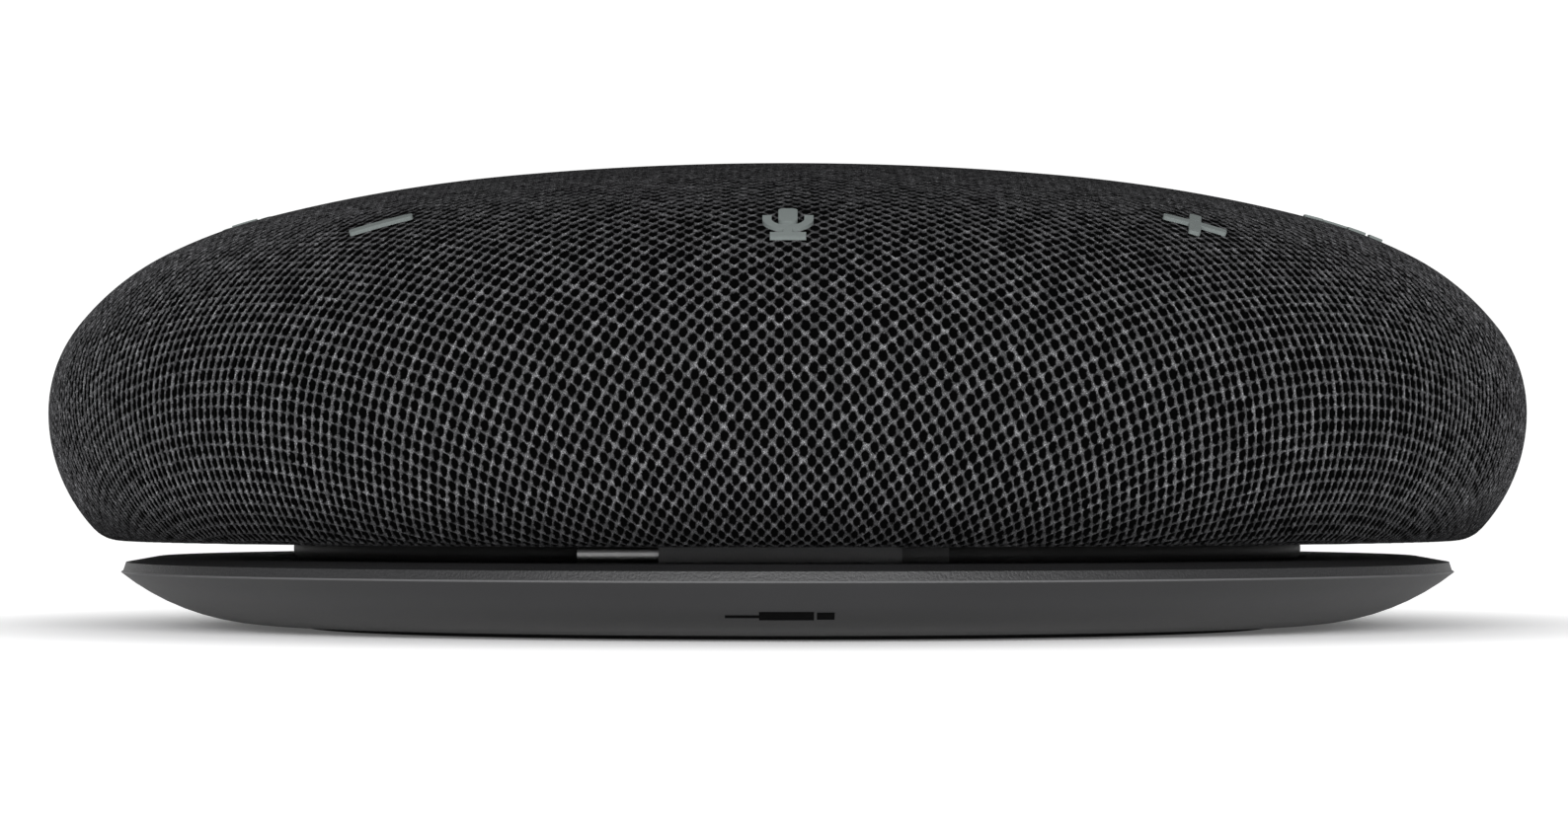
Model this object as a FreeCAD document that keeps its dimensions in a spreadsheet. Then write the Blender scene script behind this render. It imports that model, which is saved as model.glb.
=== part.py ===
import FreeCAD, Part
import math
import os
import re

import Sketcher

# Conference speakerphone: a round, fabric-covered dome over a bowl-shaped base. The USB cable is wound
# round a D-shaped core in the waist between them, and its plug is parked across the front.
# Millimetres, +Z up, front towards -Y, origin on the table under the middle of the object.

# ---- Driving dimensions -------------------------------------------------------------------------------

SIZES = {
    # whole object
    "overall_height": 41.3,
    "fit_gap": 0.05,            # play between pieces that are assembled into each other
    # dome meridian: seven tangent arcs from the pole to the flat hem, by the turn of their tangent
    "dome_arc_a": 267.3,
    "dome_arc_b": 127.0,
    "dome_arc_c": 42.3,
    "dome_arc_d": 22.7,
    "dome_arc_e": 12.36,
    "dome_arc_f": 15.22,
    "dome_arc_g": 3.2,
    "turn_pole": 0,
    "turn_a": 6,
    "turn_b": 15,
    "turn_c": 27,
    "turn_d": 52,
    "turn_e": 90,
    "turn_f": 132.4,
    "turn_g": 180,
    "hem_radius": 57.5,
    "fabric_inside": 0.8,
    "grille_outside": 0.85,
    "grille_inside": 2.45,
    "rib_outside": 1.6,
    # bowl-shaped base
    "dish_floor": 0.4,
    "dish_wall": 1.8,
    "dish_flat_radius": 46.3,
    "bowl_arc": 21.2,
    "rim_radius": 59.65,
    "rim_chamfer": 0.12,
    "foot_inner": 34,
    "foot_outer": 43,
    "foot_recess": 1.0,
    # cable tray on the base, and the waist above it
    "tray_under": 4.05,
    "tray_under_radius": 53.8,
    "tray_seat_radius": 56.2,
    "band_bottom_radius": 59.45,
    "band_top_radius": 59.2,
    "band_top": 5.9,
    "deck_radius": 56.4,
    "deck_top": 6.4,
    "lower_recess_radius": 46.6,
    "lower_recess_floor": 5.55,
    "upper_recess_radius": 46.8,
    "upper_recess_roof": 8.61,
    "body_under": 8.0,
    "body_floor": 10.4,
    "body_tray_radius": 57.3,
    # parked plug: its pocket runs from the tip to the boot
    "pocket_left": 17.9,
    "pocket_right": 14.0,
    "pocket_front": 46.6,
    "pocket_back": 35.5,
    "pocket_floor": 4.75,
    "pocket_roof": 9.4,
    "plug_line": 41.0,
    "cable_level": 7.08,
    "shell_tip": 17.3,
    "shell_half_width": 4.17,
    "shell_half_height": 1.28,
    "shell_wall": 0.3,
    "liner_tip": 16.6,
    "liner_half_width": 3.4,
    "liner_half_height": 0.5,
    "plug_left": 10.6,
    "plug_right": 9.35,
    "plug_half_width": 5.2,
    "plug_half_height": 2.2,
    "plug_corner": 1.9,
    "boot_end": 13.3,
    "boot_root_radius": 2.1,
    "boot_end_radius": 1.85,
    # cable, wound in one flat layer
    "cable_radius": 1.5,
    "cable_pitch": 3.1,
    "turn_radius": 44.5,
    "chord_line": 34.0,
    "corner_bend": 14.0,
    "rise_bend": 9.0,
    "cable_top": 18.0,
    "core_radius": 36.5,
    "core_flat": 29.2,
    "core_corner": 12.2,
    "gland_left": 12.6,
    "gland_right": 2.6,
    "gland_front": 36.3,
    "gland_back": 41.0,
    "gland_height": 2.2,
    "slot_left": 11.0,
    "slot_right": 1.0,
    "slot_front": 36.6,
    "slot_back": 40.0,
    # screws
    "base_screw_ring": 27,
    "base_screw_start": 45,
    "base_boss_radius": 4.0,
    "base_boss_top": 14.0,
    "base_post_radius": 3.0,
    "base_head_radius": 2.5,
    "base_head_bottom": 0.8,
    "base_head_top": 1.9,
    "base_shank_radius": 1.25,
    "base_shank_top": 13.2,
    "tray_head_radius": 2.2,
    "tray_head_bottom": 8.1,
    "tray_head_top": 9.2,
    "tray_shank_radius": 1.0,
    "tray_shank_top": 16.0,
    "board_head_radius": 2.2,
    "board_head_height": 1.3,
    "board_shank_radius": 1.1,
    "driver_head_radius": 1.8,
    "driver_head_height": 1.0,
    "driver_shank_radius": 0.9,
    "driver_shank_bottom": 26.0,
    # posts
    "grille_post_ring": 54.5,
    "grille_post_radius": 2.4,
    "grille_post_top": 20,
    "grille_rib_bottom": 14,
    "grille_rib_width": 1.6,
    "carrier_leg_ring": 51.5,
    "carrier_leg_radius": 2.0,
    "carrier_leg_top": 26.6,
    "board_post_ring": 43.5,
    "board_post_radius": 2.5,
    # perforations over the loudspeaker
    "perforation_radius": 2.0,
    "perforation_step": 7.0,
    # keys: a ring of raised symbols that come up through the fabric
    "key_turn": 26,
    "mute_key_turn": 24.9,
    "side_key_turn": 23.2,
    "key_raise": 0.32,
    "key_gap": 0.15,
    "key_opening": 4.1,
    "key_flange_radius": 4.5,
    "key_flange_top": 3.1,
    "key_flange_bottom": 3.8,
    "key_nub_bottom": 4.5,
    "key_nub_radius": 1.2,
    "side_key_azimuth": 39.2,
    "pairing_key_azimuth": 87,
    "pairing_key_turn": 16.3,
    "call_key_azimuth": 82.5,
    "call_key_turn": 18.2,
    "sign_half_length": 2.7,
    "sign_half_width": 0.5,
    "sign_corner": 0.22,
    # key electronics, by their depth under the outside of the fabric
    "switch_top": 4.8,
    "switch_shoulder": 5.2,
    "switch_width": 4.5,
    "switch_plunger": 1.2,
    "flex_top": 6.2,
    "flex_bottom": 6.4,
    "flex_inner_turn": 13.4,
    "flex_outer_turn": 35,
    "carrier_bottom": 7.9,
    "carrier_inner_turn": 12.8,
    "carrier_outer_turn": 36.5,
    "led_width": 1.6,
    "led_top": 5.4,
    "led_beside": 9,
    "mic_length": 3.5,
    "mic_width": 2.6,
    "mic_boot_top": 2.75,
    "mic_boot_radius": 2.4,
    "mic_port_radius": 0.6,
    "front_mic_azimuth": 19,
    "rear_mic_azimuth": 150,
    # loudspeaker
    "chamber_outer": 36,
    "chamber_inner": 34,
    "chamber_ceiling": 29,
    "chamber_top": 30.5,
    "chamber_mouth": 26.9,
    "chamber_post_ring": 30.4,
    "chamber_post_radius": 2.2,
    "chamber_post_bottom": 25.2,
    "gasket_inner": 27.0,
    "gasket_outer": 28.4,
    "flange_bottom": 31.0,
    "flange_top": 32.2,
    "flange_outer": 32.0,
    "basket_mouth": 25.6,
    "basket_wall": 1.0,
    "basket_foot": 20.2,
    "basket_inner": 12.0,
    "basket_sheet": 1.0,
    "shelf_inner": 16.5,
    "shelf_outer": 18.5,
    "shelf_top": 21.3,
    "window_bottom": 22.3,
    "window_top": 29.3,
    "window_width": 9.0,
    "yoke_bottom": 11.0,
    "yoke_radius": 19.0,
    "yoke_top": 13.5,
    "pole_radius": 7.5,
    "magnet_inner": 11.0,
    "magnet_outer": 20.5,
    "plate_bottom": 17.0,
    "plate_top": 19.0,
    "plate_radius": 20.0,
    "gap_radius": 8.45,
    "coil_inner": 7.8,
    "coil_outer": 8.15,
    "coil_bottom": 15.4,
    "coil_top": 24.0,
    "cone_bottom": 22.9,
    "cone_radius": 22.2,
    "cone_sheet": 0.5,
    "roll_centre": 24.2,
    "roll_outer": 2.0,
    "roll_inner": 1.6,
    "surround_inner": 21.0,
    "surround_outer": 28.4,
    "surround_sheet": 0.4,
    "cap_radius": 10.6,
    "cap_rise": 3.0,
    "cap_level": 24.95,
    "cap_sheet": 0.4,
    "spider_outer": 17.8,
    "spider_sheet": 0.3,
    "spider_wave": 1.5,
    "spider_pitch": 1.4,
    # electronics on the floor of the body
    "board_inner": 38,
    "board_outer": 49,
    "board_start": 205,
    "board_sweep": 130,
    "board_bottom": 13.0,
    "board_top": 14.2,
    "battery_radius": 7.0,
    "battery_length": 42,
    "battery_ring": 47.5,
    "battery_level": 17.8,
    "battery_angle": 55,
    "cradle_length": 36,
    "cradle_width": 12,
    "cradle_top": 14.5,
    "antenna_radius": 62.6,
    "antenna_sheet": 0.3,
    "antenna_bottom": 17,
    "antenna_top": 22,
    "antenna_start": 212,
    "antenna_sweep": 26,
}

BASE_SCREWS = 4
GRILLE_POST_ANGLES = [0, 180, 250, 290]
CARRIER_LEG_ANGLES = [20, 90, 160, 200, 270, 340]
CARRIER_SCREW_ANGLES = [90, 200, 340]
BOARD_SCREW_ANGLES = [212, 270, 320]
DRIVER_SCREW_ANGLES = [0, 90, 180, 270]
PERFORATION_RINGS = 4
BASKET_WINDOWS = 6

# what stands on the main board: angle, radial width, tangential length, height
CHIPS = [(260, 5, 5, 0.9), (283, 7, 7, 1.1), (299, 4, 4, 0.8)]
CONNECTORS = [(222, 4, 6, 3.4), (309, 4, 8, 3.4), (329, 6, 5, 3.0)]
SHIELD = (245, 8, 16, 2.0)

document = FreeCAD.newDocument("speakerphone")
sheet = document.addObject("Spreadsheet::Sheet", "Sizes")
for row, (alias, size) in enumerate(SIZES.items(), start=1):
    sheet.set("A%d" % row, alias)
    sheet.set("B%d" % row, str(size))
    sheet.setAlias("B%d" % row, alias)
document.recompute()

NODES = {}


# ---- Working with the sheet ---------------------------------------------------------------------------

def bound(text):
    """The expression for a size that is written in the sheet's own names."""
    return re.sub(r"\b([a-z][a-z_]*)\b(?!\()", r"Sizes.\1", text)


def number(text):
    """The present value of such a size."""
    return float(sheet.evalExpression(bound(text)))


def bind(item, **sizes):
    for field, text in sizes.items():
        item.setExpression(field, bound(text))
    return item


def place(item, x="0", y="0", z="0"):
    for axis, text in (("x", x), ("y", y), ("z", z)):
        if text != "0":
            item.setExpression("Placement.Base.%s" % axis, bound(text))
    return item


def node(label, item):
    """Names a finished sub-part."""
    item.Label = label
    NODES[label] = item
    return item


# ---- Sketches -----------------------------------------------------------------------------------------

def origin_plane(body, role):
    return [item for item in body.Origin.OriginFeatures if item.Role == role][0]


def pin_corner(sketch, edge, end, across, up):
    for text, kind, axis in ((across, "DistanceX", -2), (up, "DistanceY", -1)):
        if text == "0":
            sketch.addConstraint(Sketcher.Constraint("PointOnObject", edge, end, axis))
            continue
        index = sketch.addConstraint(Sketcher.Constraint(kind, -1, 1, edge, end, number(text)))
        sketch.setExpression("Constraints[%d]" % index, bound(text))


def arc_between(start, end, radius):
    """An arc of less than half a turn; a positive radius turns left and a negative one right."""
    chord = end - start
    left = FreeCAD.Vector(-chord.y, chord.x, 0)
    left.normalize()
    rise = math.sqrt(max(radius ** 2 - (chord.Length / 2) ** 2, 0))
    centre = (start + end) * 0.5 + left * math.copysign(rise, radius)
    first, last = (start, end) if radius > 0 else (end, start)
    begin = math.atan2(first.y - centre.y, first.x - centre.x)
    sweep = (math.atan2(last.y - centre.y, last.x - centre.x) - begin) % (2 * math.pi)
    circle = Part.Circle(centre, FreeCAD.Vector(0, 0, 1), abs(radius))
    return Part.ArcOfCircle(circle, begin, begin + sweep)


def trace(sketch, outline):
    """Draws a closed outline with every corner bound to the sheet. A corner is (across, up), and
    (across, up, radius, "left" or "right") where an arc of that radius runs to it."""
    spots = [FreeCAD.Vector(number(corner[0]), number(corner[1]), 0) for corner in outline]
    ends = []
    for index, corner in enumerate(outline):
        start, end = spots[index - 1], spots[index]
        if len(corner) == 2:
            edge = sketch.addGeometry(Part.LineSegment(start, end), False)
            ends.append((edge, 1, 2))
            continue
        turn = 1 if corner[3] == "left" else -1
        edge = sketch.addGeometry(arc_between(start, end, turn * number(corner[2])), False)
        ends.append((edge, 1, 2) if turn > 0 else (edge, 2, 1))
    for index, (edge, first, last) in enumerate(ends):
        before, before_first, before_last = ends[index - 1]
        sketch.addConstraint(Sketcher.Constraint("Coincident", before, before_last, edge, first))
    for (edge, first, last), corner in zip(ends, outline):
        pin_corner(sketch, edge, last, corner[0], corner[1])
        if len(corner) > 2:
            index = sketch.addConstraint(Sketcher.Constraint("Radius", edge, number(corner[2])))
            sketch.setExpression("Constraints[%d]" % index, bound(corner[2]))


def body_sketch(body, plane, outlines, offset="0"):
    sketch = body.newObject("Sketcher::SketchObject", body.Name + "_sketch")
    sketch.AttachmentSupport = [(origin_plane(body, plane), "")]
    sketch.MapMode = "FlatFace"
    if offset != "0":
        sketch.setExpression("AttachmentOffset.Base.z", bound(offset))
    for outline in outlines:
        trace(sketch, outline)
    return sketch


def revolved(name, outline):
    """A body turned about the vertical axis from an outline of (radius, height)."""
    body = document.addObject("PartDesign::Body", name)
    sketch = body_sketch(body, "XZ_Plane", [outline])
    turned = body.newObject("PartDesign::Revolution", name + "_turned")
    turned.Profile = sketch
    turned.ReferenceAxis = (sketch, ["V_Axis"])
    turned.Angle = 360
    body.Tip = turned
    return body


def extruded(name, plane, outlines, start, length):
    """A body padded from one or more outlines; a second outline is a hole in the first."""
    body = document.addObject("PartDesign::Body", name)
    sketch = body_sketch(body, plane, outlines, start)
    pad = body.newObject("PartDesign::Pad", name + "_pad")
    pad.Profile = sketch
    bind(pad, Length=length)
    body.Tip = pad
    return body


def ring(name, inner, outer, bottom, top):
    return revolved(name, [(inner, bottom), (outer, bottom), (outer, top), (inner, top)])


def rounded_outline(half_width, half_height, corner, middle_x, middle_y):
    """A rectangle with round corners about a middle."""
    left, right = "%s - (%s)" % (middle_x, half_width), "%s + (%s)" % (middle_x, half_width)
    low, high = "%s - (%s)" % (middle_y, half_height), "%s + (%s)" % (middle_y, half_height)
    return [
        ("%s - (%s)" % (right, corner), low),
        (right, "%s + (%s)" % (low, corner), corner, "left"),
        (right, "%s - (%s)" % (high, corner)),
        ("%s - (%s)" % (right, corner), high, corner, "left"),
        ("%s + (%s)" % (left, corner), high),
        (left, "%s - (%s)" % (high, corner), corner, "left"),
        (left, "%s + (%s)" % (low, corner)),
        ("%s + (%s)" % (left, corner), low, corner, "left"),
    ]


# ---- Primitives and booleans --------------------------------------------------------------------------

def cylinder(radius, bottom, top, x="0", y="0"):
    item = document.addObject("Part::Cylinder", "peg")
    bind(item, Radius=radius, Height="(%s) - (%s)" % (top, bottom))
    return place(item, x, y, bottom)


def block(left, right, front, back, bottom, top):
    item = document.addObject("Part::Box", "block")
    bind(item, Length="(%s) - (%s)" % (right, left))
    bind(item, Width="(%s) - (%s)" % (back, front))
    bind(item, Height="(%s) - (%s)" % (top, bottom))
    return place(item, left, front, bottom)


def pegs(angles, ring_radius, radius, bottom, top):
    """Upright cylinders on a circle about the axis."""
    found = []
    for angle in angles:
        across = "%s * cos(%g)" % (ring_radius, angle)
        along = "%s * sin(%g)" % (ring_radius, angle)
        found.append(cylinder(radius, bottom, top, across, along))
    return found


def radial_block(angle, ring_radius, width, length, bottom, top):
    """An upright block centred on a circle about the axis, its length along the tangent."""
    item = document.addObject("Part::Box", "block")
    bind(item, Length=width, Width=length, Height="(%s) - (%s)" % (top, bottom))
    turn = FreeCAD.Rotation(FreeCAD.Vector(0, 0, 1), angle)
    near = FreeCAD.Vector(number(ring_radius) - number(width) / 2, -number(length) / 2, number(bottom))
    item.Placement = FreeCAD.Placement(turn.multVec(near), turn)
    return item


def sector(name, inner, outer, bottom, top, start, sweep):
    """A part of a flat ring."""
    whole = bind(cylinder(outer, bottom, top), Angle=sweep)
    whole.Placement.Rotation = FreeCAD.Rotation(FreeCAD.Vector(0, 0, 1), number(start))
    return cut(name, whole, [cylinder(inner, "(%s) - 1" % bottom, "(%s) + 1" % top)])


def fuse(name, items):
    joined = document.addObject("Part::MultiFuse", name)
    joined.Shapes = items
    return joined


def gather(name, items):
    """Separate solids that stay separate."""
    together = document.addObject("Part::Compound", name)
    together.Links = items
    return together


def cut(name, base, tools):
    result = document.addObject("Part::Cut", name)
    result.Base = base
    result.Tool = tools[0] if len(tools) == 1 else gather(name + "_tools", tools)
    return result


def common(name, first, second):
    result = document.addObject("Part::Common", name)
    result.Base = first
    result.Tool = second
    return result


# ---- The dome's meridian ------------------------------------------------------------------------------

ARCS = ["dome_arc_a", "dome_arc_b", "dome_arc_c", "dome_arc_d", "dome_arc_e", "dome_arc_f", "dome_arc_g"]
TURNS = ["turn_pole", "turn_a", "turn_b", "turn_c", "turn_d", "turn_e", "turn_f", "turn_g"]


def dome_spot(turn, depth, arcs):
    """The point of the meridian where its tangent has turned so far, at a depth under the surface;
    arcs is how many of the seven arcs lie wholly or partly before it."""
    across, up = "0 ", "overall_height"
    for index in range(arcs):
        last = turn if index == arcs - 1 else TURNS[index + 1]
        across += " + %s * (sin(%s) - sin(%s))" % (ARCS[index], last, TURNS[index])
        up += " + %s * (cos(%s) - cos(%s))" % (ARCS[index], last, TURNS[index])
    return ("%s - (%s) * sin(%s)" % (across, depth, turn), "%s - (%s) * cos(%s)" % (up, depth, turn))


def dome_line(depth):
    """The meridian's seven arcs from the pole down, at a depth under the surface."""
    line = [("0", "overall_height - (%s)" % depth)]
    for index, arc in enumerate(ARCS):
        across, up = dome_spot(TURNS[index + 1], depth, index + 1)
        line.append((across, up, "%s - (%s)" % (arc, depth), "right"))
    return line


def dome_shell(name, outside, inside):
    """A shell between two depths, with its hem turned in underneath."""
    outer = dome_line(outside)
    inner = dome_line(inside)
    outline = outer + [("hem_radius", outer[-1][1]), ("hem_radius", inner[-1][1]), inner[-1][:2]]
    for index in range(len(inner) - 1, 0, -1):
        outline.append((inner[index - 1][0], inner[index - 1][1], inner[index][2], "left"))
    return revolved(name, outline)


def dome_solid(name, depth):
    line = dome_line(depth)
    return revolved(name, line + [("0", line[-1][1])])


# ---- Bowl-shaped base ---------------------------------------------------------------------------------

RIM_LEVEL = "(dish_floor + bowl_arc - sqrt(bowl_arc^2 - (rim_radius - dish_flat_radius)^2))"


def base_screw_pegs(radius, bottom, top):
    angles = [number("base_screw_start") + 360 / BASE_SCREWS * index for index in range(BASE_SCREWS)]
    return pegs(angles, "base_screw_ring", radius, bottom, top)


def base_dish():
    """The bowl, with a groove for the foot and four screw bosses inside."""
    inner_arc = "(bowl_arc - dish_wall)"
    inner_rim = "dish_flat_radius + sqrt(%s^2 - (dish_floor + bowl_arc - %s)^2)" % (inner_arc, RIM_LEVEL)
    bowl = revolved("dish_bowl", [
        ("0", "dish_floor"),
        ("foot_inner - 0.2", "dish_floor"),
        ("foot_inner - 0.2", "dish_floor + foot_recess"),
        ("foot_outer + 0.2", "dish_floor + foot_recess"),
        ("foot_outer + 0.2", "dish_floor"),
        ("dish_flat_radius", "dish_floor"),
        ("rim_radius", RIM_LEVEL + " - rim_chamfer", "bowl_arc", "left"),
        ("rim_radius - rim_chamfer", RIM_LEVEL),
        (inner_rim, RIM_LEVEL),
        ("dish_flat_radius", "dish_floor + dish_wall", inner_arc, "right"),
        ("0", "dish_floor + dish_wall"),
    ])
    bosses = base_screw_pegs("base_boss_radius", "dish_floor + 0.6 * dish_wall", "tray_under")
    holes = base_screw_pegs("base_shank_radius + fit_gap", "0", "tray_under + 1")
    sinks = base_screw_pegs("base_head_radius + 0.2", "0", "base_head_top")
    node("base_dish", cut("dish", fuse("dish_with_bosses", [bowl] + bosses), holes + sinks))


def foot_ring():
    """Rubber ring that the object stands on."""
    node("foot_ring", ring("foot", "foot_inner", "foot_outer", "0", "dish_floor + foot_recess - fit_gap"))


def plug_pocket(bottom, top):
    """Room for the parked plug, cut into the tray below it and the body above it."""
    return block("-pocket_left", "pocket_right", "-pocket_front", "-pocket_back", bottom, top)


def cable_tray():
    """Deck of the base: band, chamfer, flat deck and the recess that the cable lies in."""
    deck = revolved("tray_deck", [
        ("0", "tray_under"),
        ("tray_under_radius", "tray_under"),
        ("tray_seat_radius", RIM_LEVEL),
        ("band_bottom_radius", RIM_LEVEL),
        ("band_top_radius", "band_top"),
        ("deck_radius", "deck_top"),
        ("lower_recess_radius", "deck_top"),
        ("lower_recess_radius", "lower_recess_floor"),
        ("0", "lower_recess_floor"),
    ])
    holes = base_screw_pegs("base_shank_radius + fit_gap", "tray_under - 1", "deck_top")
    pocket = plug_pocket("pocket_floor", "deck_top + 1")
    node("cable_tray", cut("tray", deck, holes + [pocket]))


def cable_core():
    """D-shaped block that the cable is wound round; it also carries the body on the base."""
    middle = "(core_flat - core_corner)"
    side = "sqrt((core_radius - core_corner)^2 - %s^2)" % middle
    reach = "core_radius / (core_radius - core_corner)"
    outline = [
        (side, "-core_flat"),
        ("%s * %s" % (side, reach), "-%s * %s" % (middle, reach), "core_corner", "left"),
        ("core_radius", "0", "core_radius", "left"),
        ("0", "core_radius", "core_radius", "left"),
        ("-core_radius", "0", "core_radius", "left"),
        ("-%s * %s" % (side, reach), "-%s * %s" % (middle, reach), "core_radius", "left"),
        ("-" + side, "-core_flat", "core_corner", "left"),
    ]
    height = "upper_recess_roof - lower_recess_floor"
    drum = extruded("core_drum", "XY_Plane", [outline], "lower_recess_floor", height)
    holes = base_screw_pegs("base_shank_radius + fit_gap", "tray_under", "body_floor")
    node("cable_core", cut("core", drum, holes))


def base_screws():
    heads = base_screw_pegs("base_head_radius", "base_head_bottom", "base_head_top")
    shanks = base_screw_pegs("base_shank_radius", "base_head_top", "base_shank_top")
    screws = [fuse("base_screw", list(pair)) for pair in zip(heads, shanks)]
    node("base_screws", gather("base_screw_set", screws))


# ---- Parked USB plug and its cable --------------------------------------------------------------------

def usb_plug():
    """Metal shell with its plastic liner, the moulded grip and the boot that the cable leaves."""
    line, level = "-plug_line", "cable_level"
    shell = "shell_half_width - shell_wall - fit_gap"
    inside = "shell_half_height - shell_wall - fit_gap"
    outer = rounded_outline("shell_half_width", "shell_half_height", "0.9 * shell_half_height", line, level)
    bore = rounded_outline("shell_half_width - shell_wall", "shell_half_height - shell_wall",
                           "0.9 * (shell_half_height - shell_wall)", line, level)
    node("usb_plug_shell", extruded("plug_shell", "YZ_Plane", [outer, bore], "-shell_tip",
                                    "shell_tip - plug_left"))
    liner = rounded_outline(shell, inside, "0.9 * (%s)" % inside, line, level)
    mouth = rounded_outline("liner_half_width", "liner_half_height", "0.5 * liner_half_height", line, level)
    node("usb_plug_liner", extruded("plug_liner", "YZ_Plane", [liner, mouth], "-liner_tip",
                                    "liner_tip - plug_left"))
    grip = rounded_outline("plug_half_width", "plug_half_height", "plug_corner", line, level)
    node("usb_plug_grip", extruded("plug_grip", "YZ_Plane", [grip], "-plug_left", "plug_left + plug_right"))
    boot = document.addObject("Part::Cone", "plug_boot")
    bind(boot, Radius1="boot_root_radius", Radius2="boot_end_radius", Height="boot_end - plug_right")
    boot.Placement.Rotation = FreeCAD.Rotation(FreeCAD.Vector(0, 1, 0), 90)
    node("usb_boot", place(boot, "plug_right", line, level))


def cable_route():
    """The cable's middle line: out of the boot, two and a half turns round the core from the outside
    in, and up into the body. Each turn is an arc on either side, a straight chord across the front
    and a bend between them; the left arcs sit half a pitch back, so each turn ends one pitch in."""
    level, pitch = number("cable_level"), number("cable_pitch")
    bend, outer = number("corner_bend"), number("turn_radius")
    edges = []
    bends = []

    def spot(x, y, z=level):
        return FreeCAD.Vector(x, y, z)

    def arc(middle, radius, start, end):
        points = [spot(middle[0] + radius * math.cos(a), middle[1] + radius * math.sin(a))
                  for a in (start, (start + end) / 2, end)]
        edges.append(Part.Arc(*points).toShape())
        bends.append(radius)
        return points[-1]

    def corner(radius, back, chord):
        """How far to the side a corner bend's middle lies, and the angle where it meets the arc."""
        across = math.sqrt((radius - bend) ** 2 - (bend - chord - back) ** 2)
        return across, math.atan2(bend - chord - back, across)

    here = spot(number("boot_end"), -number("plug_line"))
    for turn in range(3):
        right, left = outer - turn * pitch, outer - (turn + 0.5) * pitch
        chord = number("plug_line") if turn == 0 else number("chord_line") - (turn - 1) * pitch
        across, meet = corner(right, 0, chord)
        edges.append(Part.LineSegment(here, spot(across, -chord)).toShape())
        arc((across, bend - chord), bend, -math.pi / 2, meet)
        here = arc((0, 0), right, meet, math.pi / 2)
        if turn < 2:
            chord = number("chord_line") - turn * pitch
            across, meet = corner(left, pitch / 2, chord)
            arc((0, pitch / 2), left, math.pi / 2, math.pi - meet)
            arc((-across, bend - chord), bend, math.pi - meet, 3 * math.pi / 2)
            here = spot(-across, -chord)
    rise = number("rise_bend")
    slant = rise * math.sqrt(0.5)
    top = spot(here.x - rise, here.y, level + rise)
    middle = spot(here.x - slant, here.y, level + rise - slant)
    edges.append(Part.Arc(here, middle, top).toShape())
    bends.append(rise)
    edges.append(Part.LineSegment(top, spot(top.x, top.y, number("cable_top"))).toShape())
    print("cable bend radii, mm:", " ".join("%.2f" % radius for radius in bends))
    return Part.Wire(edges)


def usb_cable():
    spine = document.addObject("Part::Feature", "cable_spine")
    spine.Shape = cable_route()
    section = bind(document.addObject("Part::Circle", "cable_section"), Radius="cable_radius")
    section.Placement.Rotation = FreeCAD.Rotation(FreeCAD.Vector(0, 1, 0), 90)
    place(section, "boot_end", "-plug_line", "cable_level")
    tube = document.addObject("Part::Sweep", "cable_tube")
    tube.Sections = [section]
    tube.Spine = (spine, [])
    tube.Solid = True
    tube.Frenet = False
    document.recompute()
    print("cable length %.1f mm, tube volume %.1f, section x length %.1f" % (
        spine.Shape.Length, tube.Shape.Volume, math.pi * number("cable_radius^2") * spine.Shape.Length))
    node("usb_cable", tube)


def cable_gland():
    """Rubber block that closes the slot where the cable comes up into the body."""
    pad = block("-gland_left", "gland_right", "gland_front", "gland_back", "body_floor",
                "body_floor + gland_height")
    node("cable_gland", cut("gland", pad, [NODES["usb_cable"]]))


# ---- Floor of the body --------------------------------------------------------------------------------

def body_tray():
    """Moulded floor: recessed underneath for the cable and plug, with posts on top."""
    plate = revolved("floor_plate", [
        ("0", "upper_recess_roof"),
        ("upper_recess_radius", "upper_recess_roof"),
        ("upper_recess_radius", "body_under"),
        ("body_tray_radius", "body_under"),
        ("body_tray_radius", "body_floor"),
        ("0", "body_floor"),
    ])
    posts = base_screw_pegs("base_post_radius", "body_floor - 0.5", "base_boss_top")
    posts += pegs(BOARD_SCREW_ANGLES, "board_post_ring", "board_post_radius", "body_floor - 0.5",
                  "board_bottom")
    holes = base_screw_pegs("base_shank_radius + fit_gap", "body_under", "base_shank_top + 0.2")
    holes += pegs(BOARD_SCREW_ANGLES, "board_post_ring", "board_shank_radius + fit_gap",
                  "body_floor + 0.4", "board_top")
    for angles, around in ((GRILLE_POST_ANGLES, "grille_post_ring"),
                           (CARRIER_SCREW_ANGLES, "carrier_leg_ring")):
        holes += pegs(angles, around, "tray_shank_radius + fit_gap", "body_under - 1", "body_floor + 1")
        holes += pegs(angles, around, "tray_head_radius + 0.2", "body_under - 1", "tray_head_top")
    slot = block("-slot_left", "slot_right", "slot_front", "slot_back", "body_under - 1", "body_floor + 1")
    pocket = plug_pocket("body_under - 1", "pocket_roof")
    node("body_tray", cut("floor_tray", fuse("floor_with_posts", [plate] + posts), holes + [slot, pocket]))


def tray_screws():
    screws = []
    for angles, around in ((GRILLE_POST_ANGLES, "grille_post_ring"),
                           (CARRIER_SCREW_ANGLES, "carrier_leg_ring")):
        heads = pegs(angles, around, "tray_head_radius", "tray_head_bottom", "tray_head_top")
        shanks = pegs(angles, around, "tray_shank_radius", "tray_head_top", "tray_shank_top")
        screws += [fuse("tray_screw", list(pair)) for pair in zip(heads, shanks)]
    node("tray_screws", gather("tray_screw_set", screws))


# ---- Keys ---------------------------------------------------------------------------------------------

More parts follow.
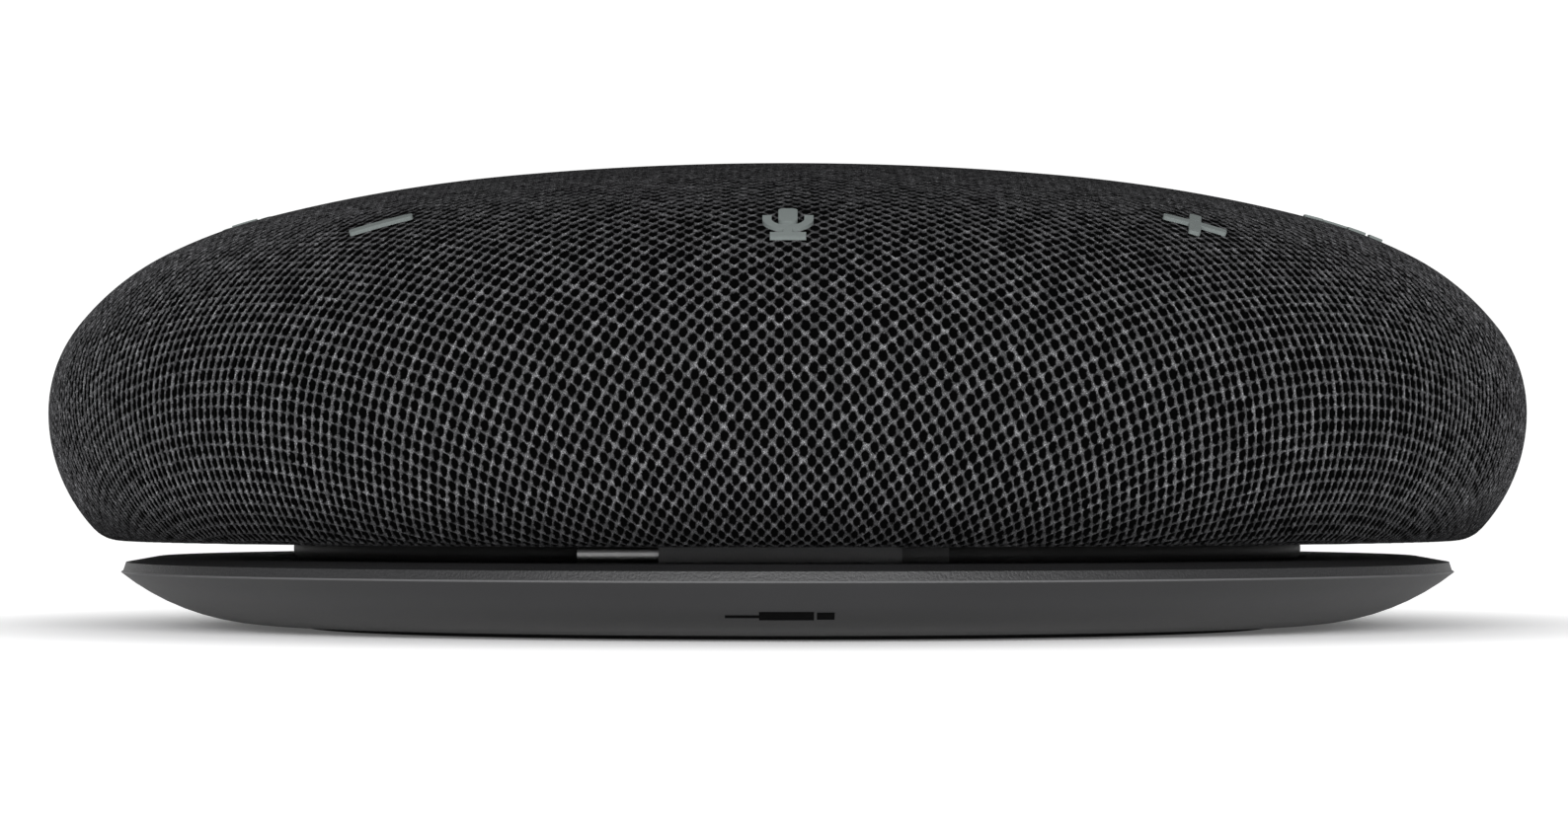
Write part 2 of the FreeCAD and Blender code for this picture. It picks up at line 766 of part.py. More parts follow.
def on_dome(spot, depth):
    """A frame at a depth under a spot of the dome, which is its azimuth from the front and the turn of
    the meridian there: z along the surface normal, y towards the back."""
    azimuth, turn = spot
    lean, around = math.radians(number(turn)), math.radians(azimuth)
    outward = FreeCAD.Vector(math.sin(around), -math.cos(around), 0)
    normal = outward * math.sin(lean) + FreeCAD.Vector(0, 0, math.cos(lean))
    across, up = dome_spot(turn, "0", 3)
    foot = outward * number(across) + FreeCAD.Vector(0, 0, number(up))
    side = FreeCAD.Vector(0, 1, 0).cross(normal)
    facing = FreeCAD.Rotation(side, normal.cross(side), normal, "ZXY")
    return FreeCAD.Placement(foot - normal * number(depth), facing)


def dome_peg(spot, radius, deep, shallow):
    item = document.addObject("Part::Cylinder", "peg")
    bind(item, Radius=radius, Height="(%s) - (%s)" % (deep, shallow))
    item.Placement = on_dome(spot, deep)
    return item


def dome_block(spot, width, length, deep, shallow):
    item = document.addObject("Part::Box", "block")
    bind(item, Length=width, Width=length, Height="(%s) - (%s)" % (deep, shallow))
    corner = FreeCAD.Vector(-number(width) / 2, -number(length) / 2, 0)
    item.Placement = on_dome(spot, deep) * FreeCAD.Placement(corner, FreeCAD.Rotation())
    return item


def bar_symbol(grow):
    return [rounded_outline("sign_half_length + %s" % grow, "sign_half_width + %s" % grow,
                            "(sign_corner + %s)" % grow, "0", "0")]


def cross_symbol(grow):
    """Four arms alike, each turned a quarter on from the last."""
    tip, side = "(sign_half_length + %s)" % grow, "(sign_half_width + %s)" % grow
    corner = "(sign_corner + %s)" % grow
    shoulder, flank = "(%s - %s)" % (tip, corner), "(%s - %s)" % (side, corner)
    arm = [(shoulder, "-" + side), (tip, "-" + flank, corner, "left"), (tip, flank),
           (shoulder, side, corner, "left"), (side, side)]
    outline = []
    for quarter in range(4):
        outline += arm
        arm = [("-" + spot[1], spot[0]) + spot[2:] for spot in arm]
    return [outline]


def microphone_symbol(grow):
    """A capsule in a yoke with a stem and a foot."""
    capsule = rounded_outline("0.775 + %s" % grow, "1.5 + %s" % grow, "0.5 + %s" % grow, "0", "1.55")
    outer, inner, stem = "(2.06 + %s)" % grow, "(1.32 - %s)" % grow, "(0.365 + %s)" % grow
    foot, middle, tip = "(1.45 + %s)" % grow, "0.6", "1.4 + %s" % grow
    root = "%s - sqrt(%s^2 - %s^2)" % (middle, outer, stem)
    neck, sole = "-2.1 + %s" % grow, "-2.9 - %s" % grow
    yoke = [
        ("-" + outer, tip), ("-" + outer, middle), ("-" + stem, root, outer, "left"),
        ("-" + stem, neck), ("-" + foot, neck), ("-" + foot, sole), (foot, sole), (foot, neck),
        (stem, neck), (stem, root), (outer, middle, outer, "left"), (outer, tip), (inner, tip),
        (inner, middle), ("0", "%s - %s" % (middle, inner), inner, "right"),
        ("-" + inner, middle, inner, "right"), ("-" + inner, tip),
    ]
    return [capsule, yoke]


def antenna_symbol(grow):
    """A mast on a foot, with a wave on either side."""
    foot, stem, sole = "(1.15 + %s)" % grow, "(0.37 + %s)" % grow, "-2.75 - %s" % grow
    neck, tip = "-2.05 + %s" % grow, "1.3 + %s" % grow
    mast = [("-" + foot, sole), (foot, sole), (foot, neck), (stem, neck), (stem, tip),
            ("-" + stem, tip), ("-" + stem, neck), ("-" + foot, neck)]
    outer, inner = "(2.4 + %s)" % grow, "(1.6 - %s)" % grow
    waves = []
    for sign, turn, back in (("", "left", "right"), ("-", "right", "left")):
        waves.append([
            (sign + outer + " * cos(35)", "0.6 - %s * sin(35)" % outer),
            (sign + outer + " * cos(35)", "0.6 + %s * sin(35)" % outer, outer, turn),
            (sign + inner + " * cos(35)", "0.6 + %s * sin(35)" % inner),
            (sign + inner + " * cos(35)", "0.6 - %s * sin(35)" % inner, inner, back),
        ])
    return [mast] + waves


def handset_symbol(grow):
    """A handset beside a short mark."""
    left, right = "-3.6 - %s" % grow, "2.0 + %s" % grow
    cheek_left, cheek_right = "-2.0 + %s" % grow, "0.4 - %s" % grow
    top, inner, low = "1.2 + %s" % grow, "0.1 - %s" % grow, "-1.2 - %s" % grow
    handset = [(left, low), (cheek_left, low), (cheek_left, inner), (cheek_right, inner),
               (cheek_right, low), (right, low), (right, top), (left, top)]
    mark = [("2.4 - %s" % grow, low), ("3.6 + %s" % grow, low), ("3.6 + %s" % grow, top),
            ("2.4 - %s" % grow, top)]
    return [handset, mark]


KEYS = {
    "mute_key": (microphone_symbol, (0, "mute_key_turn")),
    "volume_down_key": (bar_symbol, (-number("side_key_azimuth"), "side_key_turn")),
    "volume_up_key": (cross_symbol, (number("side_key_azimuth"), "side_key_turn")),
    "pairing_key": (antenna_symbol, (-number("pairing_key_azimuth"), "pairing_key_turn")),
    "call_key": (handset_symbol, (number("call_key_azimuth"), "call_key_turn")),
}


def symbol_prism(name, symbol, spot, grow, deep, length):
    sketch = document.addObject("Sketcher::SketchObject", name + "_outline")
    sketch.Placement = on_dome(spot, deep)
    for outline in symbol(grow):
        trace(sketch, outline)
    prism = document.addObject("Part::Extrusion", name)
    prism.Base = sketch
    prism.DirMode = "Normal"
    prism.Solid = True
    bind(prism, LengthFwd=length)
    return prism


def keys():
    """Each key is its symbol, standing a little proud of the cloth, on a round flange with a nub."""
    proud = dome_solid("key_envelope", "-key_raise")
    for label, (symbol, spot) in KEYS.items():
        prism = symbol_prism(label + "_prism", symbol, spot, "0", "key_flange_bottom - 0.3", "6")
        face = common(label + "_face", prism, proud)
        flange = dome_peg(spot, "key_flange_radius", "key_flange_bottom", "key_flange_top")
        nub = dome_peg(spot, "key_nub_radius", "key_nub_bottom", "key_flange_bottom - 0.2")
        node(label, fuse(label + "_solid", [face, flange, nub]))


# ---- Shells of the dome -------------------------------------------------------------------------------

def fabric_cover():
    """Knitted cloth stretched over the grille and turned in under it, cut out round the symbols."""
    tools = []
    for label, (symbol, spot) in KEYS.items():
        tools.append(symbol_prism(label + "_window", symbol, spot, "key_gap", "1.7", "3.4"))
    node("fabric_cover", cut("cover", dome_shell("cloth", "0", "fabric_inside"), tools))


def perforate(body):
    """Rings of round holes over the loudspeaker, each ring a polar pattern of one pocket."""
    for index in range(PERFORATION_RINGS + 1):
        sketch = body.newObject("Sketcher::SketchObject", "perforation_sketch")
        sketch.AttachmentSupport = [(origin_plane(body, "XY_Plane"), "")]
        sketch.MapMode = "FlatFace"
        middle = FreeCAD.Vector(index * number("perforation_step"), 0, 0)
        sketch.addGeometry(Part.Circle(middle, FreeCAD.Vector(0, 0, 1), number("perforation_radius")), False)
        pin_corner(sketch, 0, 3, "%d * perforation_step" % index if index else "0", "0")
        size = sketch.addConstraint(Sketcher.Constraint("Radius", 0, number("perforation_radius")))
        sketch.setExpression("Constraints[%d]" % size, bound("perforation_radius"))
        pocket = body.newObject("PartDesign::Pocket", "perforation")
        pocket.Profile = sketch
        pocket.Type = "ThroughAll"
        pocket.Reversed = True
        body.Tip = pocket
        document.recompute()
        if index:
            pattern = body.newObject("PartDesign::PolarPattern", "perforation_ring")
            pattern.Originals = [pocket]
            pattern.Axis = (sketch, ["N_Axis"])
            pattern.Angle = 360
            pattern.Occurrences = 6 * index
            body.Tip = pattern
            document.recompute()


def grille_shell():
    """Moulded dome under the cloth, with openings for the keys and screw posts on its side wall."""
    shell = dome_shell("grille", "grille_outside", "grille_inside")
    document.recompute()
    perforate(shell)
    pieces = [shell]
    envelope = dome_solid("rib_envelope", "rib_outside")
    post_bottom = "body_floor + fit_gap"
    for angle in GRILLE_POST_ANGLES:
        post = pegs([angle], "grille_post_ring", "grille_post_radius", post_bottom, "grille_post_top")[0]
        rib = radial_block(angle, "grille_post_ring + 5", "10", "grille_rib_width", "grille_rib_bottom",
                           "grille_post_top")
        pieces += [post, common("rib", rib, envelope)]
    holes = [dome_peg(spot, "key_opening", "3.0", "0.2") for symbol, spot in KEYS.values()]
    holes += pegs(GRILLE_POST_ANGLES, "grille_post_ring", "tray_shank_radius + fit_gap", "body_floor - 1",
                  "tray_shank_top + 0.3")
    node("grille_shell", cut("grille_cut", fuse("grille_with_posts", pieces), holes))


# ---- Key electronics ----------------------------------------------------------------------------------

def dome_band(name, inner_turn, outer_turn, deep, shallow):
    """A ring parallel to the cloth at the keys, between two turns of the meridian."""
    corners = []
    for depth in (shallow, deep):
        corners.append([
            dome_spot(inner_turn, depth, 2),
            dome_spot("turn_b", depth, 2) + ("dome_arc_b - (%s)" % depth, "right"),
            dome_spot("turn_c", depth, 3) + ("dome_arc_c - (%s)" % depth, "right"),
            dome_spot(outer_turn, depth, 4) + ("dome_arc_d - (%s)" % depth, "right"),
        ])
    over, under = corners
    outline = over + [under[-1][:2]]
    for index in range(len(under) - 1, 0, -1):
        outline.append((under[index - 1][0], under[index - 1][1], under[index][2], "left"))
    return revolved(name, outline)


def key_carrier():
    """Ring under the key board, standing on six legs."""
    plate = dome_band("carrier_plate", "carrier_inner_turn", "carrier_outer_turn", "carrier_bottom",
                      "flex_bottom")
    legs = pegs(CARRIER_LEG_ANGLES, "carrier_leg_ring", "carrier_leg_radius", "body_floor",
                "carrier_leg_top")
    holes = pegs(CARRIER_SCREW_ANGLES, "carrier_leg_ring", "tray_shank_radius + fit_gap", "body_floor - 1",
                 "tray_shank_top + 0.3")
    node("key_carrier", cut("carrier", fuse("carrier_with_legs", [plate] + legs), holes))


def key_flex():
    node("key_flex", dome_band("flex", "flex_inner_turn", "flex_outer_turn", "flex_bottom", "flex_top"))


def tact_switches():
    switches = []
    for symbol, spot in KEYS.values():
        case = dome_block(spot, "switch_width", "switch_width", "flex_top", "switch_shoulder")
        plunger = dome_peg(spot, "switch_plunger", "switch_shoulder + 0.2", "switch_top")
        switches.append(fuse("tact_switch", [case, plunger]))
    node("tact_switches", gather("tact_switch_set", switches))


def status_leds():
    leds = []
    for symbol, (azimuth, turn) in KEYS.values():
        spot = (azimuth + number("led_beside"), turn)
        leds.append(dome_block(spot, "led_width", "led_width", "flex_top", "led_top"))
    node("status_leds", gather("led_set", leds))


def microphones():
    """Four microphones on the key board, each with a rubber boot that seals it to the grille."""
    azimuths = [side * number(name) for side in (-1, 1) for name in ("front_mic_azimuth", "rear_mic_azimuth")]
    capsules, boots = [], []
    for spot in [(azimuth, "key_turn") for azimuth in azimuths]:
        capsules.append(dome_block(spot, "mic_length", "mic_width", "flex_top", "switch_shoulder"))
        body = dome_peg(spot, "mic_boot_radius", "switch_shoulder", "mic_boot_top")
        port = dome_peg(spot, "mic_port_radius", "switch_shoulder + 1", "mic_boot_top - 1")
        boots.append(cut("mic_boot", body, [port]))
    node("microphones", gather("microphone_set", capsules))
    node("mic_boots", gather("mic_boot_set", boots))


# ---- Loudspeaker --------------------------------------------------------------------------------------

def speaker_chamber():
    """Sealed pot behind the loudspeaker."""
    pot = revolved("chamber_pot", [
        ("chamber_inner", "body_floor"), ("chamber_outer", "body_floor"), ("chamber_outer", "chamber_top"),
        ("chamber_mouth", "chamber_top"), ("chamber_mouth", "chamber_ceiling"),
        ("chamber_inner", "chamber_ceiling"),
    ])
    posts = pegs(DRIVER_SCREW_ANGLES, "chamber_post_ring", "chamber_post_radius", "chamber_post_bottom",
                 "chamber_ceiling + 0.5")
    holes = pegs(DRIVER_SCREW_ANGLES, "chamber_post_ring", "driver_shank_radius + fit_gap",
                 "driver_shank_bottom - 0.2", "chamber_top + 1")
    node("speaker_chamber", cut("chamber", fuse("chamber_with_posts", [pot] + posts), holes))


def speaker_basket():
    """Pressed frame of the loudspeaker, with six windows in its cone."""
    frame = revolved("basket_frame", [
        ("basket_mouth", "flange_top"), ("flange_outer", "flange_top"), ("flange_outer", "flange_bottom"),
        ("basket_mouth + basket_wall", "flange_bottom"), ("basket_foot + basket_wall", "plate_top"),
        ("basket_inner", "plate_top"), ("basket_inner", "plate_top + basket_sheet"),
        ("shelf_inner", "plate_top + basket_sheet"), ("shelf_inner", "shelf_top"),
        ("shelf_outer", "shelf_top"), ("shelf_outer", "plate_top + basket_sheet"),
        ("basket_foot", "plate_top + basket_sheet"),
    ])
    windows = [radial_block(360 / BASKET_WINDOWS * index, "basket_foot + 3", "8", "window_width",
                            "window_bottom", "window_top") for index in range(BASKET_WINDOWS)]
    holes = pegs(DRIVER_SCREW_ANGLES, "chamber_post_ring", "driver_shank_radius + fit_gap",
                 "flange_bottom - 0.5", "flange_top + 1")
    node("speaker_basket", cut("basket", frame, windows + holes))


def speaker_motor():
    """Magnet between a back yoke with its pole and a front plate."""
    node("speaker_gasket", ring("gasket", "gasket_inner", "gasket_outer", "chamber_top", "flange_bottom"))
    node("back_yoke", revolved("yoke", [
        ("0", "yoke_bottom"), ("yoke_radius", "yoke_bottom"), ("yoke_radius", "yoke_top"),
        ("pole_radius", "yoke_top"), ("pole_radius", "plate_top"), ("0", "plate_top"),
    ]))
    node("magnet_ring", ring("magnet", "magnet_inner", "magnet_outer", "yoke_top", "plate_bottom"))
    node("front_plate", ring("top_plate", "gap_radius", "plate_radius", "plate_bottom", "plate_top"))


def speaker_moving_parts():
    """Voice coil, cone and dust cap, which move together."""
    node("voice_coil", ring("coil", "coil_inner", "coil_outer", "coil_bottom", "coil_top"))
    hole = "coil_outer"
    node("speaker_cone", revolved("cone", [
        (hole, "cone_bottom"), ("cone_radius", "flange_top - cone_sheet"), ("cone_radius", "flange_top"),
        (hole, "cone_bottom + cone_sheet"),
    ]))
    sphere = "((cap_radius^2 + cap_rise^2) / (2 * cap_rise))"
    inside = "(%s - cap_sheet)" % sphere
    node("dust_cap", revolved("cap", [
        ("0", "cap_level + cap_rise"), ("cap_radius", "cap_level", sphere, "right"),
        ("sqrt(%s^2 - (%s - cap_rise)^2)" % (inside, sphere), "cap_level"),
        ("0", "cap_level + cap_rise - cap_sheet", inside, "left"),
    ]))


def speaker_suspension():
    """Half-roll surround at the cone's edge, and the corrugated spider round the coil."""
    top = "flange_top + surround_sheet"
    node("cone_surround", revolved("surround", [
        ("surround_outer", "flange_top"), ("surround_outer", top),
        ("roll_centre + roll_outer", top), ("roll_centre", top + " + roll_outer", "roll_outer", "left"),
        ("roll_centre - roll_outer", top, "roll_outer", "left"),
        ("surround_inner", top), ("surround_inner", "flange_top"),
        ("roll_centre - roll_inner", "flange_top"), ("roll_centre - roll_inner", top),
        ("roll_centre", top + " + roll_inner", "roll_inner", "right"),
        ("roll_centre + roll_inner", top, "roll_inner", "right"),
        ("roll_centre + roll_inner", "flange_top"),
    ]))
    reach = "coil_outer + fit_gap"
    inner = [(reach, "shelf_top + 0.4"), (reach + " + 1.2", "shelf_top + 0.4")]
    waves = []
    for index in range(5):
        lift = "- 0.5 * spider_wave + 0.1" if index % 2 == 0 else "+ 0.5 * spider_wave + 0.1"
        waves.append((reach + " + 1.2 + %d * spider_pitch" % (index + 1), "shelf_top " + lift))
    under = inner + waves[:4] + [("shelf_inner", "shelf_top"), ("spider_outer", "shelf_top")]
    over = [(across, up + " + spider_sheet") for across, up in reversed(under)]
    node("spider", revolved("coil_spider", under + over))


def speaker_screws():
    heads = pegs(DRIVER_SCREW_ANGLES, "chamber_post_ring", "driver_head_radius", "flange_top",
                 "flange_top + driver_head_height")
    shanks = pegs(DRIVER_SCREW_ANGLES, "chamber_post_ring", "driver_shank_radius", "driver_shank_bottom",
                  "flange_top")
    node("speaker_screws", gather("driver_screw_set",
                                  [fuse("driver_screw", list(pair)) for pair in zip(heads, shanks)]))


# ---- Electronics --------------------------------------------------------------------------------------

def main_board():
    whole = sector("board_blank", "board_inner", "board_outer", "board_bottom", "board_top", "board_start",
                   "board_sweep")
    holes = pegs(BOARD_SCREW_ANGLES, "board_post_ring", "board_shank_radius + fit_gap", "board_bottom - 1",
                 "board_top + 1")
    node("main_board", cut("board", whole, holes))
    heads = pegs(BOARD_SCREW_ANGLES, "board_post_ring", "board_head_radius", "board_top",
                 "board_top + board_head_height")
    shanks = pegs(BOARD_SCREW_ANGLES, "board_post_ring", "board_shank_radius", "body_floor + 0.5",
                  "board_top")
    node("board_screws", gather("board_screw_set",
                                [fuse("board_screw", list(pair)) for pair in zip(heads, shanks)]))


def on_board(angle, width, length, height):
    return radial_block(angle, "board_post_ring", str(width), str(length), "board_top",
                        "board_top + %g" % height)


def board_components():
    node("shield_can", on_board(*SHIELD))
    node("board_chips", gather("chip_set", [on_board(*chip) for chip in CHIPS]))
    node("board_connectors", gather("connector_set", [on_board(*plug) for plug in CONNECTORS]))
    node("antenna_strip", sector("antenna", "antenna_radius", "antenna_radius + antenna_sheet",
                                 "antenna_bottom", "antenna_top", "antenna_start", "antenna_sweep"))


def battery_cylinder(angle, radius, length):
    item = document.addObject("Part::Cylinder", "battery_round")
    bind(item, Radius=radius, Height=length)
    around = FreeCAD.Rotation(FreeCAD.Vector(0, 0, 1), angle)
    along = around.multiply(FreeCAD.Rotation(FreeCAD.Vector(1, 0, 0), 90))
    middle = FreeCAD.Vector(number("battery_ring"), number(length) / 2, number("battery_level"))
    item.Placement = FreeCAD.Placement(around.multVec(middle), along)
    return item


def batteries():
    """Two cells lying along the back wall in moulded cradles."""
    angles = [number("battery_angle"), 180 - number("battery_angle")]
    cells, cradles = [], []
    for angle in angles:
        cells.append(battery_cylinder(angle, "battery_radius", "battery_length"))
        saddle = radial_block(angle, "battery_ring", "cradle_width", "cradle_length", "body_floor",
                              "cradle_top")
        room = battery_cylinder(angle, "battery_radius + fit_gap", "battery_length + 2")
        cradles.append(cut("battery_cradle", saddle, [room]))
    node("battery_cells", gather("battery_set", cells))
    node("battery_cradles", gather("cradle_set", cradles))


# ---- Build, check and write ---------------------------------------------------------------------------

for build in (base_dish, foot_ring, cable_tray, cable_core, base_screws, usb_plug, usb_cable, cable_gland,
              body_tray, tray_screws, keys, fabric_cover, grille_shell, key_carrier, key_flex,
              tact_switches, status_leds, microphones, speaker_chamber, speaker_basket, speaker_motor,
              speaker_moving_parts, speaker_suspension, speaker_screws, main_board, board_components,
              batteries):
    build()
document.recompute()

for item in document.Objects:
    if "Invalid" in item.State or "Error" in item.State:
        raise RuntimeError("%s (%s) failed: %s" % (item.Name, item.Label, item.State))
for label, item in NODES.items():
    if item.Shape.isNull() or not item.Shape.isValid() or not item.Shape.Solids:
        raise RuntimeError("%s has no valid solid" % label)

os.makedirs("parts", exist_ok=True)
for label, item in NODES.items():
    item.Shape.exportStep("parts/%s.step" % label)
print("%d sub-parts written" % len(NODES))
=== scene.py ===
import math

import bpy
import numpy as np
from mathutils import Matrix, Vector


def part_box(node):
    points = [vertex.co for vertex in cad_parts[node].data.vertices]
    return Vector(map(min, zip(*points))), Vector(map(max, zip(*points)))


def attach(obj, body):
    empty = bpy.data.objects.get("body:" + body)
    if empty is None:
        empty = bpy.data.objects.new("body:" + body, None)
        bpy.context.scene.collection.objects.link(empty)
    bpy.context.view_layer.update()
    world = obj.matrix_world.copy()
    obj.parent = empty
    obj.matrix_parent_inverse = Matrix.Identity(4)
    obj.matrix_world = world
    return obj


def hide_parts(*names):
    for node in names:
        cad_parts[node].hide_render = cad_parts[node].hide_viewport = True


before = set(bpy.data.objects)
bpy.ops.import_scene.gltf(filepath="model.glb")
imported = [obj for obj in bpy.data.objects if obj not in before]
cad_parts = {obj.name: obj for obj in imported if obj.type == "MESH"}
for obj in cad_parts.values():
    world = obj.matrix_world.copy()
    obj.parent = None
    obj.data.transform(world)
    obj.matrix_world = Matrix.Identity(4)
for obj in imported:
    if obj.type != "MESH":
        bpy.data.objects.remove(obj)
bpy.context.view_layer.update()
MM = 0.001

# ---- Camera -------------------------------------------------------------------------------------------
# A long lens close to table height, looking level at the front, so the dome's top is seen at a glancing
# angle and the waist between dome and base shows as a slit.

camera_data = bpy.data.cameras.new("camera")
camera_data.lens = 129.2
camera_data.sensor_width = 36.0
camera_data.clip_start = 0.01
camera_data.clip_end = 20.0
camera = bpy.data.objects.new("camera", camera_data)
camera.location = (-0.00032, -0.507, 0.0132)
camera.rotation_euler = (math.radians(90.66), 0, 0)
bpy.context.scene.collection.objects.link(camera)
bpy.context.scene.camera = camera

# ---- Table and studio light ---------------------------------------------------------------------------
# A sheet of white acrylic that glows with painted light, dimmed under the object as a painted shadow, a
# soft sky that is white at the horizon and dimmer above, behind and at both sides, and two broad soft boxes
# in front, left and right.


def shader(name, roughness, specular=0.5, metallic=0.0):
    """A new material with its node tree and its main shader."""
    material = bpy.data.materials.new(name)
    material.use_nodes = True
    tree = material.node_tree
    main = tree.nodes["Principled BSDF"]
    main.inputs["Roughness"].default_value = roughness
    main.inputs["Specular IOR Level"].default_value = specular
    main.inputs["Metallic"].default_value = metallic
    return material, tree, main


def node(tree, kind, settings=None, **sockets):
    """Adds a shader node; a socket, by name or as i0, i1, ..., gets a value or another node's output."""
    made = tree.nodes.new(kind)
    for field, value in (settings or {}).items():
        setattr(made, field, value)
    for field, value in sockets.items():
        numbered = field[0] == "i" and field[1:].isdigit()
        socket = made.inputs[int(field[1:]) if numbered else field]
        if isinstance(value, bpy.types.NodeSocket):
            tree.links.new(value, socket)
        else:
            socket.default_value = value
    return made


def maths(tree, operation, first, second=0.0):
    return node(tree, "ShaderNodeMath", {"operation": operation}, i0=first, i1=second).outputs[0]


def spread(tree, value, low, high, start=0.0, end=1.0, smooth=True):
    """Maps a value from one range to another, clamped."""
    kind = "SMOOTHSTEP" if smooth else "LINEAR"
    found = node(tree, "ShaderNodeMapRange", {"interpolation_type": kind},
                 **{"Value": value, "From Min": low, "From Max": high, "To Min": start, "To Max": end})
    return found.outputs[0]


TABLE_WIDTH = 3
TABLE_MIDDLE = (0, -0.9, 0)
# distance from the object's axis and strength of the table's painted glow: dimmed under the object as a
# painted shadow, and past it
DIM_REACH, DIM_GLOW = 0.055, 0.10
LIT_REACH, LIT_GLOW = 0.105, 0.52

bpy.ops.object.select_all(action="DESELECT")
bpy.ops.mesh.primitive_plane_add(size=TABLE_WIDTH, location=TABLE_MIDDLE)
table = bpy.context.object
table.name = "table"
table_paint, table_tree, paint = shader("pale_table", 0.9, 0.1)
paint.inputs["Base Color"].default_value = (0.93, 0.93, 0.935, 1)
paint.inputs["Emission Color"].default_value = (1, 1, 1, 1)
table_spot = node(table_tree, "ShaderNodeNewGeometry").outputs["Position"]
reach = node(table_tree, "ShaderNodeVectorMath", {"operation": "LENGTH"}, i0=table_spot).outputs["Value"]
# the table glows as painted light, weaker under the object as a painted shadow
painted_glow_and_shadow = spread(table_tree, reach, DIM_REACH, LIT_REACH, DIM_GLOW, LIT_GLOW)
table_tree.links.new(painted_glow_and_shadow, paint.inputs["Emission Strength"])
table.data.materials.append(table_paint)

# the sky's strength at the horizon, above it in front and behind, and its share at both sides
HORIZON_GLOW = 1.08
FRONT_GLOW, BACK_GLOW = 0.56, 0.42
SIDE_SHARE = 0.55

sky = bpy.data.worlds.new("sky")
sky.use_nodes = True
toward = node(sky.node_tree, "ShaderNodeTexCoord").outputs["Generated"]
bearing = node(sky.node_tree, "ShaderNodeSeparateXYZ", None, Vector=toward)
above = spread(sky.node_tree, bearing.outputs[1], -0.3, 0.5, FRONT_GLOW, BACK_GLOW)
glow = spread(sky.node_tree, bearing.outputs[2], 0.10, 0.30, HORIZON_GLOW, above)
sideways = maths(sky.node_tree, "ABSOLUTE", bearing.outputs[0])
glow = maths(sky.node_tree, "MULTIPLY", glow, spread(sky.node_tree, sideways, 0.45, 0.90, 1.0, SIDE_SHARE))
background = sky.node_tree.nodes["Background"]
background.inputs["Color"].default_value = (1, 1, 1, 1)
sky.node_tree.links.new(glow, background.inputs["Strength"])
bpy.context.scene.world = sky
bpy.context.scene.view_settings.view_transform = "Standard"

SOFT_BOX_WIDTH, SOFT_BOX_HEIGHT = 0.6, 0.3
SOFT_BOX_WATTS = 13.2
SOFT_BOX_AIM = Vector((0, 0, 0.02))

for name, across in (("left_soft_box", -0.30), ("right_soft_box", 0.30)):
    lamp = bpy.data.lights.new(name, "AREA")
    lamp.shape = "RECTANGLE"
    lamp.size = SOFT_BOX_WIDTH
    lamp.size_y = SOFT_BOX_HEIGHT
    lamp.energy = SOFT_BOX_WATTS
    light = bpy.data.objects.new(name, lamp)
    light.location = (across, -1.15, 0.28)
    light.rotation_euler = (SOFT_BOX_AIM - light.location).to_track_quat("-Z", "Y").to_euler()
    bpy.context.scene.collection.objects.link(light)

# ---- Knitted cover ------------------------------------------------------------------------------------
# Charcoal polyester mesh, knitted flat as a square net of small holes, stretched over the grille dome
# and turned in under its edge. The net keeps its square lattice at the crown and runs diagonally at the
# front; over the side it is drawn in round the girth, so its holes get narrower and taller.

MESH_PITCH = 1.04 * MM
PIT_DEPTH = 0.30 * MM
KNOT_RISE = 0.05 * MM
HEM_RADIUS = 57.5 * MM
HEM_THICKNESS = 0.6 * MM
# the net's lattice runs diagonally at the front
NET_TURN = math.radians(45)
TRIM_MARGIN = 0.2 * MESH_PITCH
# azimuth from the front and the meridian's turn at each key, round which the cloth is pressed flat
KEY_SPOTS = ((0, 24.9), (-39.2, 23.2), (39.2, 23.2), (-87, 16.3), (82.5, 18.2))
FLAT_RADIUS = 3.3 * MM
FADE_RADIUS = 4.4 * MM
# arcs of the dome's meridian from the crown down: radius, and the tangent's turn at the arc's end
MERIDIAN = ((267.3 * MM, 6), (127.0 * MM, 15), (42.3 * MM, 27), (22.7 * MM, 52), (12.36 * MM, 90),
            (15.22 * MM, 132.4), (3.2 * MM, 180))
crown_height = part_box("fabric_cover")[1].z


def meridian(run):
    """Radius, height and tangent turn of the dome's surface at runs along it from the crown."""
    radius = np.zeros_like(run)
    height = np.full_like(run, crown_height)
    turn = np.zeros_like(run)
    done, begin = 0.0, 0.0
    at_radius, at_height = 0.0, crown_height
    for arc, end in MERIDIAN:
        end = math.radians(end)
        inside = run >= done
        angle = np.minimum(begin + (run[inside] - done) / arc, end)
        radius[inside] = at_radius + arc * (np.sin(angle) - math.sin(begin))
        height[inside] = at_height + arc * (np.cos(angle) - math.cos(begin))
        turn[inside] = angle
        at_radius += arc * (math.sin(end) - math.sin(begin))
        at_height += arc * (math.cos(end) - math.cos(begin))
        done += arc * (end - begin)
        begin = end
    under = run > done
    radius[under] = at_radius - (run[under] - done)
    return radius, height, turn, done + at_radius - HEM_RADIUS


hem_run = float(meridian(np.zeros(1))[3])
rows = 2 * math.ceil(hem_run / MESH_PITCH) + 2
bpy.ops.object.select_all(action="DESELECT")
bpy.ops.mesh.primitive_grid_add(x_subdivisions=rows, y_subdivisions=rows, size=rows * MESH_PITCH)
cover = bpy.context.object
cover.name = "knitted_cover"
cover_mesh = cover.data


def flat_places(mesh):
    places = np.zeros(len(mesh.vertices) * 3)
    mesh.vertices.foreach_get("co", places)
    return places.reshape(-1, 3)


